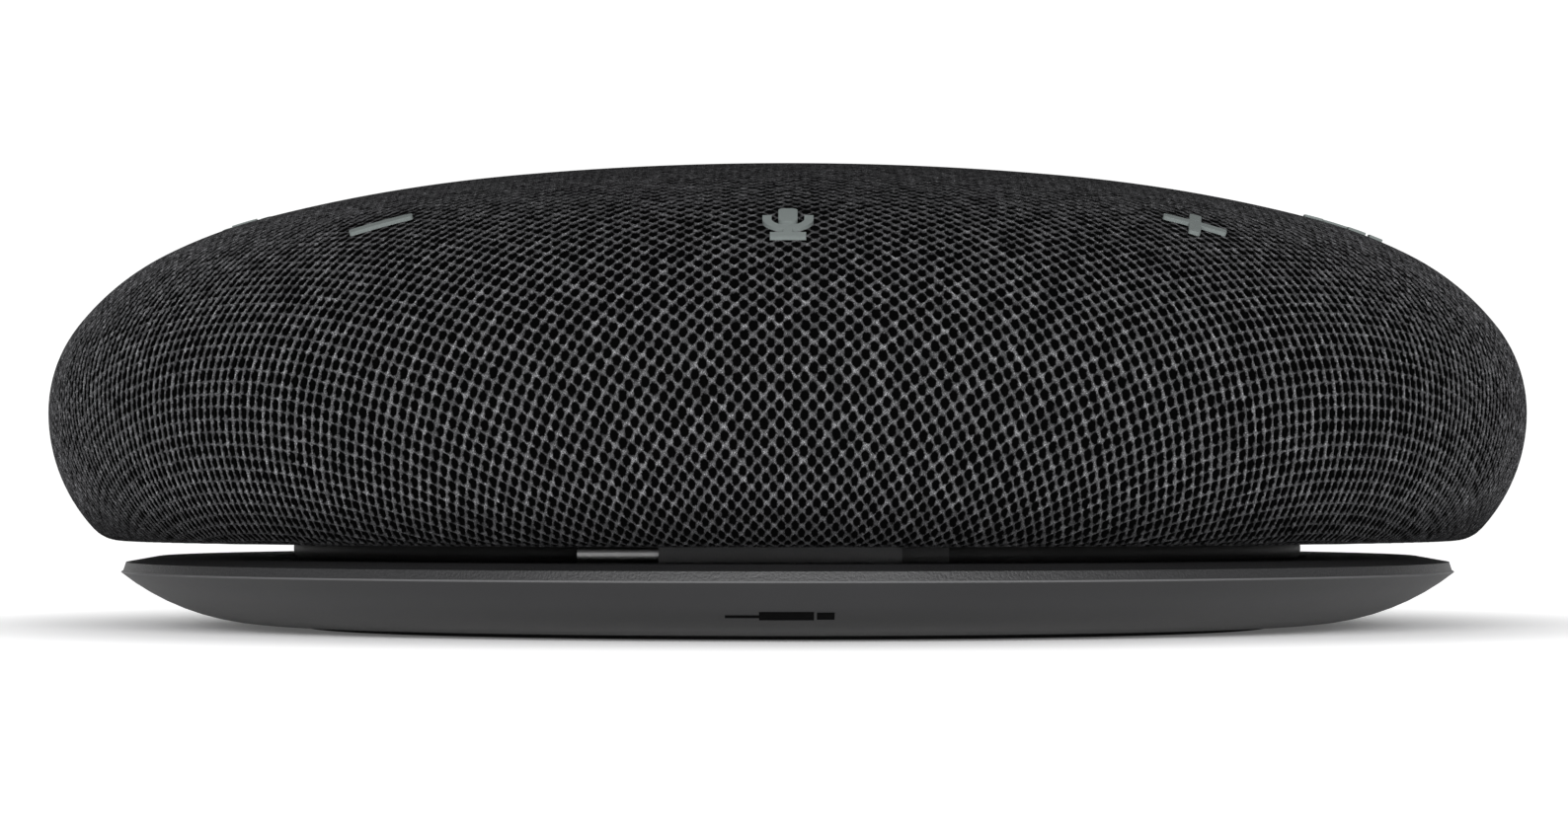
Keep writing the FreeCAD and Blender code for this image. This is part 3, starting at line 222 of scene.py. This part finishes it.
# trim the net to a disc that reaches just past the hem, then give each hole a middle
spots = flat_places(cover_mesh)
near = np.hypot(spots[:, 0], spots[:, 1]) < hem_run + TRIM_MARGIN
bpy.ops.object.mode_set(mode="EDIT")
bpy.ops.mesh.select_mode(type="FACE")
bpy.ops.mesh.select_all(action="DESELECT")
bpy.ops.object.mode_set(mode="OBJECT")
keep = [bool(near[list(face.vertices)].any()) for face in cover_mesh.polygons]
cover_mesh.polygons.foreach_set("select", [not kept for kept in keep])
bpy.ops.object.mode_set(mode="EDIT")
bpy.ops.mesh.delete(type="FACE")
bpy.ops.mesh.select_all(action="SELECT")
bpy.ops.mesh.poke()
bpy.ops.object.mode_set(mode="OBJECT")

# wrap it over the dome: crossings stand proud, the middles of the holes sink
spots = flat_places(cover_mesh)
lattice = spots[:, :2] / MESH_PITCH
is_hole = np.abs(lattice[:, 0] - np.round(lattice[:, 0])) > 0.25
run = np.minimum(np.hypot(spots[:, 0], spots[:, 1]), hem_run)
around = np.arctan2(spots[:, 1], spots[:, 0]) + NET_TURN
radius, height, turn, _ = meridian(run)
upright = around + math.pi / 2
loose = np.ones_like(run)
for azimuth, key_turn in KEY_SPOTS:
    nearest = np.argmin(np.abs(turn - math.radians(key_turn)))
    key_around = math.radians(azimuth)
    away = np.sqrt((radius * np.sin(upright) - radius[nearest] * math.sin(key_around)) ** 2
                   + (radius * np.cos(upright) - radius[nearest] * math.cos(key_around)) ** 2
                   + (height - height[nearest]) ** 2)
    loose = np.minimum(loose, np.clip((away - FLAT_RADIUS) / (FADE_RADIUS - FLAT_RADIUS), 0, 1))
inset = np.where(is_hole, PIT_DEPTH, -KNOT_RISE) * loose
radius -= inset * np.sin(turn)
height -= inset * np.cos(turn)
wrapped = np.column_stack((radius * np.cos(around), radius * np.sin(around), height))
cover_mesh.vertices.foreach_set("co", wrapped.ravel())
net = cover_mesh.attributes.new("net", "FLOAT_VECTOR", "POINT")
net.data.foreach_set("vector", np.column_stack((lattice, run / MM)).ravel())
cover_mesh.update()

# the turned-in edge is as thick as the cloth
bpy.ops.object.mode_set(mode="EDIT")
bpy.ops.mesh.select_mode(type="EDGE")
bpy.ops.mesh.select_all(action="DESELECT")
bpy.ops.mesh.select_non_manifold()
bpy.ops.mesh.extrude_edges_move(TRANSFORM_OT_translate={"value": (0, 0, HEM_THICKNESS)})
bpy.ops.mesh.select_all(action="SELECT")
bpy.ops.mesh.normals_make_consistent(inside=False)
bpy.ops.object.mode_set(mode="OBJECT")
bpy.ops.object.shade_smooth()


def tint(tree, value, stops):
    """A colour ramp of (position, grey or colour)."""
    ramp = node(tree, "ShaderNodeValToRGB", None, Fac=value)
    while len(ramp.color_ramp.elements) < len(stops):
        ramp.color_ramp.elements.new(1.0)
    for element, (position, colour) in zip(ramp.color_ramp.elements, stops):
        element.position = position
        grey = colour if isinstance(colour, tuple) else (colour, colour, colour * 1.04)
        element.color = (*grey, 1)
    return ramp.outputs[0]


def relief(tree, main, height, distance, strength=1.0):
    bump = node(tree, "ShaderNodeBump", None, Height=height, Distance=distance, Strength=strength)
    tree.links.new(bump.outputs[0], main.inputs["Normal"])


# runs from the crown, in mm: where the holes change shape, where the painted shade over the crown fades
# out, and where the painted shade at the turned edge comes in
HOLE_CHANGE = (30, 62)
CROWN_SHADE_CHANGE = (25, 66)
EDGE_SHADE_CHANGE = (82, 87)
# half axes of a hole, in pitches, before and after the change: round at the crown, tall on the side
HALF_TALL = (0.42, 0.50)
HALF_WIDE = (0.41, 0.40)
HOLE_WANDER = 0.08
# shares of fine fibre, broad patches, and a painted highlight on the thread's ridge with painted shade
# toward the holes
FIBRE_SHARE, PATCH_SHARE, RIDGE_HIGHLIGHT_SHARE = 0.65, 0.25, 0.09


def vector_maths(tree, operation, first, second=(0, 0, 0)):
    return node(tree, "ShaderNodeVectorMath", {"operation": operation}, i0=first, i1=second)


def knitted_mesh():
    """Threads of mixed grey fibres round oval holes, on the net's own flat coordinates."""
    material, tree, main = shader("knitted_mesh", 0.95, 0.01)
    cloth = node(tree, "ShaderNodeAttribute", {"attribute_name": "net"}).outputs["Vector"]
    split = node(tree, "ShaderNodeSeparateXYZ", None, Vector=cloth)
    flat = node(tree, "ShaderNodeCombineXYZ", None, X=split.outputs[0], Y=split.outputs[1]).outputs[0]
    corner = vector_maths(tree, "FLOOR", flat).outputs[0]
    middle = vector_maths(tree, "ADD", corner, (0.5, 0.5, 0)).outputs[0]
    chance = node(tree, "ShaderNodeTexWhiteNoise", {"noise_dimensions": "2D"}, Vector=middle)
    wander = vector_maths(tree, "SUBTRACT", chance.outputs["Color"], (0.5, 0.5, 0.5)).outputs[0]
    wander = vector_maths(tree, "MULTIPLY", wander, (HOLE_WANDER, HOLE_WANDER, 0)).outputs[0]
    aside = vector_maths(tree, "SUBTRACT", flat, middle).outputs[0]
    aside = vector_maths(tree, "SUBTRACT", aside, wander).outputs[0]
    down = vector_maths(tree, "NORMALIZE", middle).outputs[0]
    along = vector_maths(tree, "DOT_PRODUCT", aside, down).outputs["Value"]
    square = vector_maths(tree, "DOT_PRODUCT", aside, aside)
    along2 = maths(tree, "MULTIPLY", along, along)
    across2 = maths(tree, "SUBTRACT", square.outputs["Value"], along2)
    run_mm = split.outputs[2]
    half_tall = spread(tree, run_mm, *HOLE_CHANGE, *HALF_TALL)
    half_wide = spread(tree, run_mm, *HOLE_CHANGE, *HALF_WIDE)
    size = spread(tree, chance.outputs["Value"], 0, 1, 0.93, 1.07, smooth=False)
    tall = maths(tree, "MULTIPLY", half_tall, size)
    wide = maths(tree, "MULTIPLY", half_wide, size)
    along_part = maths(tree, "DIVIDE", along2, maths(tree, "MULTIPLY", tall, tall))
    across_part = maths(tree, "DIVIDE", across2, maths(tree, "MULTIPLY", wide, wide))
    fray = node(tree, "ShaderNodeTexNoise", {"noise_dimensions": "2D"}, Vector=flat, Scale=3.5, Detail=2.0)
    edge = maths(tree, "SQRT", maths(tree, "ADD", along_part, across_part))
    edge = maths(tree, "ADD", edge, spread(tree, fray.outputs[0], 0.2, 0.8, -0.12, 0.12))
    thread = spread(tree, edge, 0.80, 1.10)
    fibre = node(tree, "ShaderNodeTexNoise", {"noise_dimensions": "2D"}, Vector=flat, Scale=11.0,
                 Detail=3.0, Roughness=0.7)
    patch = node(tree, "ShaderNodeTexNoise", {"noise_dimensions": "2D"}, Vector=flat, Scale=1.1, Detail=2.0)
    # the thread's ridge: its height for the bump, and also a painted highlight on the ridge, painted shade
    # by the holes
    crown = spread(tree, edge, 0.85, 1.40)
    mix = maths(tree, "ADD", maths(tree, "MULTIPLY", fibre.outputs[0], FIBRE_SHARE),
                maths(tree, "MULTIPLY", patch.outputs[0], PATCH_SHARE))
    mix = maths(tree, "ADD", mix, maths(tree, "MULTIPLY", crown, RIDGE_HIGHLIGHT_SHARE))
    # painted shade: the thread is darkened over the crown, fading out down the side, and again where it
    # turns under
    mix = maths(tree, "ADD", mix, spread(tree, run_mm, *CROWN_SHADE_CHANGE, -0.11, 0.0))
    mix = maths(tree, "ADD", mix, spread(tree, run_mm, *EDGE_SHADE_CHANGE, 0.0, -0.08))
    grey = tint(tree, mix, [(0.34, 0.008), (0.49, 0.030), (0.60, 0.080), (0.67, 0.24)])
    colour = node(tree, "ShaderNodeMix", {"data_type": "RGBA"}, i0=thread, i6=(0.0006, 0.0006, 0.0006, 1),
                  i7=grey)
    tree.links.new(colour.outputs[2], main.inputs["Base Color"])
    height = maths(tree, "ADD", crown, maths(tree, "MULTIPLY", fibre.outputs[0], 0.35))
    relief(tree, main, height, 0.12 * MM, 0.8)
    return material


cover_mesh.materials.append(knitted_mesh())
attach(cover, "housing")
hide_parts("fabric_cover")

# ---- Keys ---------------------------------------------------------------------------------------------
# Grey-green silicone symbols that stand a third of a millimetre proud of the cloth. Each is one soft
# moulding with its flange under the grille, slightly mottled and matt.


def finish_node(name, material):
    """Gives a carried-over part its finish."""
    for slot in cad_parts[name].material_slots:
        slot.material = material


def moulded(name, colour, roughness, specular, grain, depth, variation=0.08):
    """Moulded plastic or rubber: an even colour that drifts a little, over a fine grained surface."""
    material, tree, main = shader(name, roughness, specular)
    place = node(tree, "ShaderNodeTexCoord").outputs["Object"]
    fine = node(tree, "ShaderNodeTexNoise", None, Vector=place, Scale=1 / grain, Detail=3.0, Roughness=0.6)
    broad = node(tree, "ShaderNodeTexNoise", None, Vector=place, Scale=60.0, Detail=2.0)
    dark = tuple(channel * (1 - variation) for channel in colour)
    light = tuple(channel * (1 + variation) for channel in colour)
    blend = maths(tree, "ADD", maths(tree, "MULTIPLY", fine.outputs[0], 0.5),
                  maths(tree, "MULTIPLY", broad.outputs[0], 0.5))
    tree.links.new(tint(tree, blend, [(0.35, dark), (0.65, light)]), main.inputs["Base Color"])
    shine = spread(tree, fine.outputs[0], 0.3, 0.7, roughness - 0.05, roughness + 0.06)
    tree.links.new(shine, main.inputs["Roughness"])
    relief(tree, main, fine.outputs[0], depth)
    return material


key_silicone = moulded("key_silicone", (0.100, 0.113, 0.110), 0.62, 0.12, 0.12 * MM, 0.01 * MM)
for name in ("mute_key", "volume_down_key", "volume_up_key", "pairing_key", "call_key"):
    finish_node(name, key_silicone)

# ---- Base dish ----------------------------------------------------------------------------------------
# Dark grey ABS bowl with a very fine spark-eroded satin finish, darkened toward the foot with painted
# shade;
# its thin top edge has a painted highlight.

# the top edge's painted highlight: its level, height and grey; then the painted shade at the foot
RIM_EDGE = 5.01 * MM
HIGHLIGHT_HEIGHT = 0.06 * MM
RIM_HIGHLIGHT_GREY = (0.09, 0.09, 0.092, 1)
FOOT_SHADE_GREY = (0.003, 0.003, 0.003, 1)
# heights between which the painted shade at the foot gives way to the bowl's own colour
SHADED_BELOW, CLEAR_ABOVE = 0.8 * MM, 3.4 * MM


def dish_satin():
    """Satin plastic with painted shade toward the foot and a painted highlight on its top edge."""
    material = moulded("dish_satin", (0.0225, 0.0225, 0.0234), 0.42, 0.12, 0.06 * MM, 0.004 * MM)
    tree = material.node_tree
    main = tree.nodes["Principled BSDF"]
    body_colour = main.inputs["Base Color"].links[0].from_socket
    place = node(tree, "ShaderNodeTexCoord").outputs["Object"]
    level = node(tree, "ShaderNodeSeparateXYZ", None, Vector=place).outputs[2]
    # painted highlight along the top edge, over painted shade that darkens the bowl toward the foot
    rim_highlight = spread(tree, level, RIM_EDGE - HIGHLIGHT_HEIGHT, RIM_EDGE)
    clear = spread(tree, level, SHADED_BELOW, CLEAR_ABOVE)
    foot_shaded_colour = node(tree, "ShaderNodeMix", {"data_type": "RGBA"}, i0=clear, i6=FOOT_SHADE_GREY,
                  i7=body_colour).outputs[2]
    shaded_and_highlighted = node(tree, "ShaderNodeMix", {"data_type": "RGBA"}, i0=rim_highlight, i6=foot_shaded_colour, i7=RIM_HIGHLIGHT_GREY)
    tree.links.new(shaded_and_highlighted.outputs[2], main.inputs["Base Color"])
    return material


finish_node("base_dish", dish_satin())

# ---- Plug pictogram -----------------------------------------------------------------------------------
# Small black sign of a plug with its wire, pad-printed low on the front of the dish to show what is
# parked above it.

PRINT_DEPTH = 0.015 * MM
PRINT_STEP = 0.12 * MM
# left, right, middle height and half height of the wire, the plug's body and its tip
SIGN_PARTS = ((-5.07 * MM, -2.33 * MM, 2.20 * MM, 0.12 * MM), (-2.33 * MM, 2.09 * MM, 2.25 * MM, 0.35 * MM),
              (2.32 * MM, 3.75 * MM, 2.25 * MM, 0.30 * MM))
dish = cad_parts["base_dish"]
into_dish = dish.matrix_world.inverted()
bpy.ops.object.select_all(action="DESELECT")
prints = []
for left, right, level, half_height in SIGN_PARTS:
    columns = math.ceil((right - left) / PRINT_STEP)
    bpy.ops.mesh.primitive_grid_add(x_subdivisions=columns, y_subdivisions=6, size=1)
    print_patch = bpy.context.object
    for vertex in print_patch.data.vertices:
        across = (left + right) / 2 + vertex.co.x * (right - left)
        up = level + vertex.co.y * 2 * half_height
        start = into_dish @ Vector((across, -0.1, up))
        ahead = into_dish.to_3x3() @ Vector((0, 1, 0))
        _, spot, normal, _ = dish.ray_cast(start, ahead.normalized())
        away = (dish.matrix_world.to_3x3() @ normal).normalized()
        vertex.co = dish.matrix_world @ spot + away * PRINT_DEPTH
    prints.append(print_patch)
for print_patch in prints:
    print_patch.select_set(True)
bpy.ops.object.join()
sign = bpy.context.object
sign.name = "plug_sign"
bpy.ops.object.mode_set(mode="EDIT")
bpy.ops.mesh.select_all(action="SELECT")
bpy.ops.mesh.flip_normals()
bpy.ops.object.mode_set(mode="OBJECT")
bpy.ops.object.shade_smooth()
sign.data.materials.append(moulded("print_ink", (0.002, 0.002, 0.002), 0.9, 0.02, 0.05 * MM, 0.002 * MM))
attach(sign, "housing")

# ---- Cable tray ---------------------------------------------------------------------------------------
# Dark ABS deck with a coarser moulded grain on its band, and the core that the cable is wound round.

deck_grain = moulded("deck_grain", (0.0145, 0.0145, 0.0152), 0.48, 0.32, 0.22 * MM, 0.06 * MM, 0.22)
finish_node("cable_tray", deck_grain)
finish_node("cable_core", deck_grain)

# ---- Rubber parts -------------------------------------------------------------------------------------
# Foot ring, cable gland and microphone boots: moulded black rubber, matt and slightly dusty.

foot_rubber = moulded("foot_rubber", (0.016, 0.016, 0.016), 0.8, 0.3, 0.2 * MM, 0.02 * MM)
for name in ("foot_ring", "cable_gland", "mic_boots"):
    finish_node(name, foot_rubber)

# ---- USB cable and plug -------------------------------------------------------------------------------
# Soft black cable jacket with a fine extruded texture, a grained moulded grip and boot, and a seamless
# nickel-plated steel shell round the plug's plastic liner.


def plated(name, colour, roughness, grain=(2, 2, 2), drift=0.05, marking=1.0):
    """Bare or plated metal with fine marks, more or less strong, drawn out along one direction."""
    material, tree, main = shader(name, roughness, 0.5, 1.0)
    place = node(tree, "ShaderNodeTexCoord").outputs["Object"]
    drawn = node(tree, "ShaderNodeMapping", None, Vector=place, Scale=grain).outputs[0]
    marks = node(tree, "ShaderNodeTexNoise", None, Vector=drawn, Scale=1000.0, Detail=4.0, Roughness=0.7)
    cloud = node(tree, "ShaderNodeTexNoise", None, Vector=place, Scale=250.0, Detail=2.0)
    dull = tuple(channel * (1 - drift) for channel in colour)
    main_colour = tint(tree, cloud.outputs[0], [(0.3, dull), (0.7, colour)])
    tree.links.new(main_colour, main.inputs["Base Color"])
    shine = spread(tree, marks.outputs[0], 0.3, 0.7, roughness * (1 - 0.25 * marking),
                   roughness * (1 + 0.3 * marking))
    tree.links.new(shine, main.inputs["Roughness"])
    relief(tree, main, marks.outputs[0], 0.0005 * MM, 0.3 * marking)
    return material


finish_node("usb_cable", moulded("cable_jacket", (0.022, 0.022, 0.022), 0.5, 0.4, 0.15 * MM, 0.01 * MM))
plug_grain = moulded("plug_grain", (0.080, 0.080, 0.082), 0.42, 0.5, 0.14 * MM, 0.03 * MM, 0.15)
for name in ("usb_plug_grip", "usb_boot", "usb_plug_liner"):
    finish_node(name, plug_grain)
finish_node("usb_plug_shell", plated("plug_nickel", (0.25, 0.25, 0.25), 0.28, (0.4, 3, 3), marking=0.03))

# ---- Screws -------------------------------------------------------------------------------------------
# Black zinc-plated steel screws, with turning marks on their heads.

screw_steel = plated("screw_zinc", (0.20, 0.20, 0.21), 0.38, (3, 3, 0.5))
for name in ("base_screws", "tray_screws", "board_screws", "speaker_screws"):
    finish_node(name, screw_steel)

# ---- Grille and inner mouldings -----------------------------------------------------------------------
# Black ABS mouldings inside the dome: the perforated grille, floor, key carrier, speaker chamber,
# battery cradles and connector housings, all with the plain satin of a polished tool.

grille_black = moulded("grille_black", (0.006, 0.006, 0.006), 0.6, 0.4, 0.3 * MM, 0.01 * MM)
finish_node("grille_shell", grille_black)
inner_black = moulded("inner_black", (0.012, 0.012, 0.012), 0.5, 0.45, 0.3 * MM, 0.008 * MM)
for name in ("body_tray", "key_carrier", "speaker_chamber", "battery_cradles", "board_connectors"):
    finish_node(name, inner_black)

# ---- Loudspeaker --------------------------------------------------------------------------------------
# A small full-range driver: powder-coated pressed basket, zinc-plated yoke and plate, sintered ferrite
# ring, copper coil, black pulp cone with a pressed cap, rubber surround and a phenolic cloth spider.

finish_node("speaker_basket",
            moulded("basket_powder", (0.012, 0.012, 0.012), 0.45, 0.5, 0.18 * MM, 0.02 * MM))
motor_zinc = plated("motor_zinc", (0.55, 0.55, 0.52), 0.30, (1, 1, 4), 0.12)
finish_node("back_yoke", motor_zinc)
finish_node("front_plate", motor_zinc)
finish_node("magnet_ring", moulded("ferrite", (0.030, 0.029, 0.028), 0.65, 0.4, 0.1 * MM, 0.02 * MM, 0.2))
finish_node("cone_surround",
            moulded("surround_rubber", (0.010, 0.010, 0.010), 0.55, 0.4, 0.4 * MM, 0.01 * MM))
finish_node("speaker_gasket",
            moulded("gasket_foam", (0.020, 0.020, 0.020), 0.95, 0.1, 0.25 * MM, 0.08 * MM, 0.3))


def wound_wire():
    """Enamelled copper wire in close turns, one above the other."""
    material, tree, main = shader("wound_copper", 0.3, 0.5, 1.0)
    place = node(tree, "ShaderNodeTexCoord").outputs["Object"]
    turns = node(tree, "ShaderNodeTexWave", {"bands_direction": "Z"}, Vector=place, Scale=1250.0,
                 Distortion=0.3).outputs["Fac"]
    tree.links.new(tint(tree, turns, [(0.1, (0.20, 0.07, 0.03)), (0.7, (0.78, 0.36, 0.17))]),
                   main.inputs["Base Color"])
    relief(tree, main, turns, 0.05 * MM)
    return material


def pressed_pulp():
    """Black paper pulp with short pale fibres pressed into it."""
    material, tree, main = shader("pressed_pulp", 0.9, 0.2)
    place = node(tree, "ShaderNodeTexCoord").outputs["Object"]
    pulp = node(tree, "ShaderNodeTexNoise", None, Vector=place, Scale=1800.0, Detail=4.0, Roughness=0.7,
                Distortion=1.5).outputs[0]
    tree.links.new(tint(tree, pulp, [(0.45, 0.010), (0.62, 0.022), (0.72, 0.09)]),
                   main.inputs["Base Color"])
    relief(tree, main, pulp, 0.05 * MM)
    return material


def treated_cloth():
    """Plain-woven cotton stiffened with brown resin."""
    material, tree, main = shader("treated_cloth", 0.7, 0.3)
    place = node(tree, "ShaderNodeTexCoord").outputs["Object"]
    warp = node(tree, "ShaderNodeTexWave", {"bands_direction": "X"}, Vector=place, Scale=900.0)
    weft = node(tree, "ShaderNodeTexWave", {"bands_direction": "Y"}, Vector=place, Scale=900.0)
    weave = maths(tree, "MULTIPLY", warp.outputs["Fac"], weft.outputs["Fac"])
    tree.links.new(tint(tree, weave, [(0.1, (0.22, 0.11, 0.03)), (0.8, (0.58, 0.36, 0.13))]),
                   main.inputs["Base Color"])
    relief(tree, main, weave, 0.08 * MM)
    return material


finish_node("voice_coil", wound_wire())
pulp = pressed_pulp()
finish_node("speaker_cone", pulp)
finish_node("dust_cap", pulp)
finish_node("spider", treated_cloth())

# ---- Boards and electronics ---------------------------------------------------------------------------
# Green solder-masked main board with tracks under the mask, amber polyimide key board, black chips and
# switches, tinned shield and microphone cans, clear light covers and a copper foil antenna.


def track_board(name, mask, track, pitch):
    """A lacquered board whose copper tracks show as a lighter net of straight runs and pads."""
    material, tree, main = shader(name, 0.32, 0.5)
    place = node(tree, "ShaderNodeTexCoord").outputs["Object"]
    runs = node(tree, "ShaderNodeTexVoronoi", {"distance": "CHEBYCHEV", "feature": "F2"}, Vector=place,
                Scale=1 / pitch, Randomness=0.8).outputs["Distance"]
    pads = node(tree, "ShaderNodeTexVoronoi", None, Vector=place, Scale=0.7 / pitch).outputs["Distance"]
    copper = maths(tree, "MAXIMUM", spread(tree, runs, 0.80, 0.84), spread(tree, pads, 0.16, 0.12))
    tree.links.new(tint(tree, copper, [(0.2, mask), (0.8, track)]), main.inputs["Base Color"])
    relief(tree, main, copper, 0.03 * MM)
    return material


finish_node("main_board", track_board("green_board", (0.006, 0.055, 0.022), (0.02, 0.16, 0.06), 1.4 * MM))
finish_node("key_flex", track_board("amber_film", (0.22, 0.09, 0.012), (0.42, 0.20, 0.04), 1.8 * MM))
chip_epoxy = moulded("chip_epoxy", (0.014, 0.014, 0.015), 0.6, 0.4, 0.08 * MM, 0.01 * MM)
finish_node("board_chips", chip_epoxy)
finish_node("tact_switches", chip_epoxy)
tinned_can = plated("tinned_can", (0.62, 0.62, 0.60), 0.33, (1, 4, 1), 0.15)
finish_node("shield_can", tinned_can)
finish_node("microphones", tinned_can)
finish_node("antenna_strip", plated("antenna_foil", (0.80, 0.42, 0.24), 0.35, (1, 1, 4), 0.2))
finish_node("status_leds", moulded("light_cover", (0.70, 0.70, 0.66), 0.2, 0.5, 0.3 * MM, 0.002 * MM, 0.04))

# ---- Batteries ----------------------------------------------------------------------------------------
# Two cylindrical cells in blue shrink film, which is glossy and a little wrinkled along its length.

finish_node("battery_cells",
            moulded("shrink_film", (0.02, 0.07, 0.26), 0.28, 0.5, 1.5 * MM, 0.03 * MM, 0.12))

bpy.context.view_layer.update()
